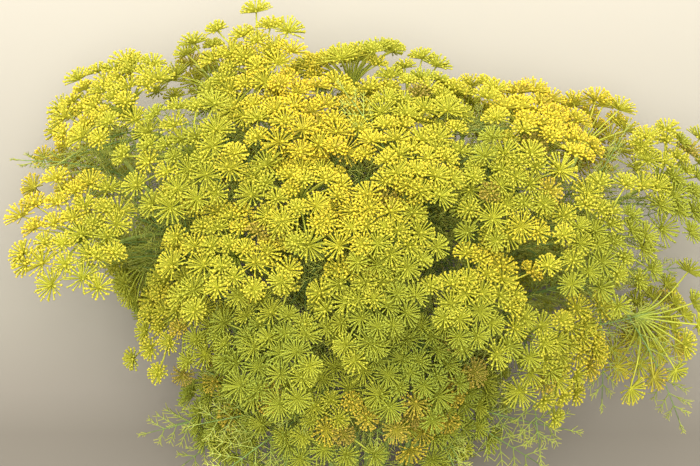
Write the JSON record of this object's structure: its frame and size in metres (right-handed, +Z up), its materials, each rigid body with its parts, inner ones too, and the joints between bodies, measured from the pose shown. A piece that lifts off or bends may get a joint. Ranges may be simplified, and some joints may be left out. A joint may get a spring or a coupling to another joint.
{
  "type": "dill bunch",
  "caption": "Cut bunch of flowering dill lying on its side, with leafy stems held by a rubber band and broad yellow-green flower umbels.",
  "frame": {"origin": "on the surface that the bunch lies on, under the middle of the rubber band", "axes": "+Y along the stems towards the flowers, +Z up, +X to the right seen from above with the flowers at the top"},
  "size_m": [0.6859, 0.7293, 0.2523],
  "materials": {
    "stem_green": "fresh ribbed dill stems and thread leaves, satin glaucous green",
    "umbel_yellow_green": "dill flowers, lime yellow-green to full yellow, matt",
    "band_rubber": "natural tan rubber band"
  },
  "bodies": {
    "root": {"leafy_stem_01": "stem_green", "umbel_01_a": "umbel_yellow_green", "umbel_01_b": "umbel_yellow_green", "umbel_01_c": "umbel_yellow_green", "leafy_stem_02": "stem_green", "umbel_02_a": "umbel_yellow_green", "umbel_02_b": "umbel_yellow_green", "umbel_02_c": "umbel_yellow_green", "leafy_stem_03": "stem_green", "umbel_03_a": "umbel_yellow_green", "umbel_03_b": "umbel_yellow_green", "umbel_03_c": "umbel_yellow_green", "leafy_stem_04": "stem_green", "umbel_04_a": "umbel_yellow_green", "umbel_04_b": "umbel_yellow_green", "umbel_04_c": "umbel_yellow_green", "leafy_stem_05": "stem_green", "umbel_05_a": "umbel_yellow_green", "umbel_05_b": "umbel_yellow_green", "umbel_05_c": "umbel_yellow_green", "leafy_stem_06": "stem_green", "umbel_06_a": "umbel_yellow_green", "umbel_06_b": "umbel_yellow_green", "umbel_06_c": "umbel_yellow_green", "leafy_stem_07": "stem_green", "umbel_07_a": "umbel_yellow_green", "umbel_07_b": "umbel_yellow_green", "umbel_07_c": "umbel_yellow_green", "leafy_stem_08": "stem_green", "umbel_08_a": "umbel_yellow_green", "umbel_08_b": "umbel_yellow_green", "umbel_08_c": "umbel_yellow_green", "leafy_stem_09": "stem_green", "umbel_09_a": "umbel_yellow_green", "umbel_09_b": "umbel_yellow_green", "umbel_09_c": "umbel_yellow_green", "leafy_stem_10": "stem_green", "umbel_10_a": "umbel_yellow_green", "umbel_10_b": "umbel_yellow_green", "umbel_10_c": "umbel_yellow_green", "leafy_stem_11": "stem_green", "umbel_11_a": "umbel_yellow_green", "umbel_11_b": "umbel_yellow_green", "umbel_11_c": "umbel_yellow_green", "leafy_stem_12": "stem_green", "umbel_12_a": "umbel_yellow_green", "umbel_12_b": "umbel_yellow_green", "umbel_12_c": "umbel_yellow_green", "leafy_stem_13": "stem_green", "umbel_13_a": "umbel_yellow_green", "umbel_13_b": "umbel_yellow_green", "umbel_13_c": "umbel_yellow_green", "rubber_band": "band_rubber"}
  },
  "joints": []
}
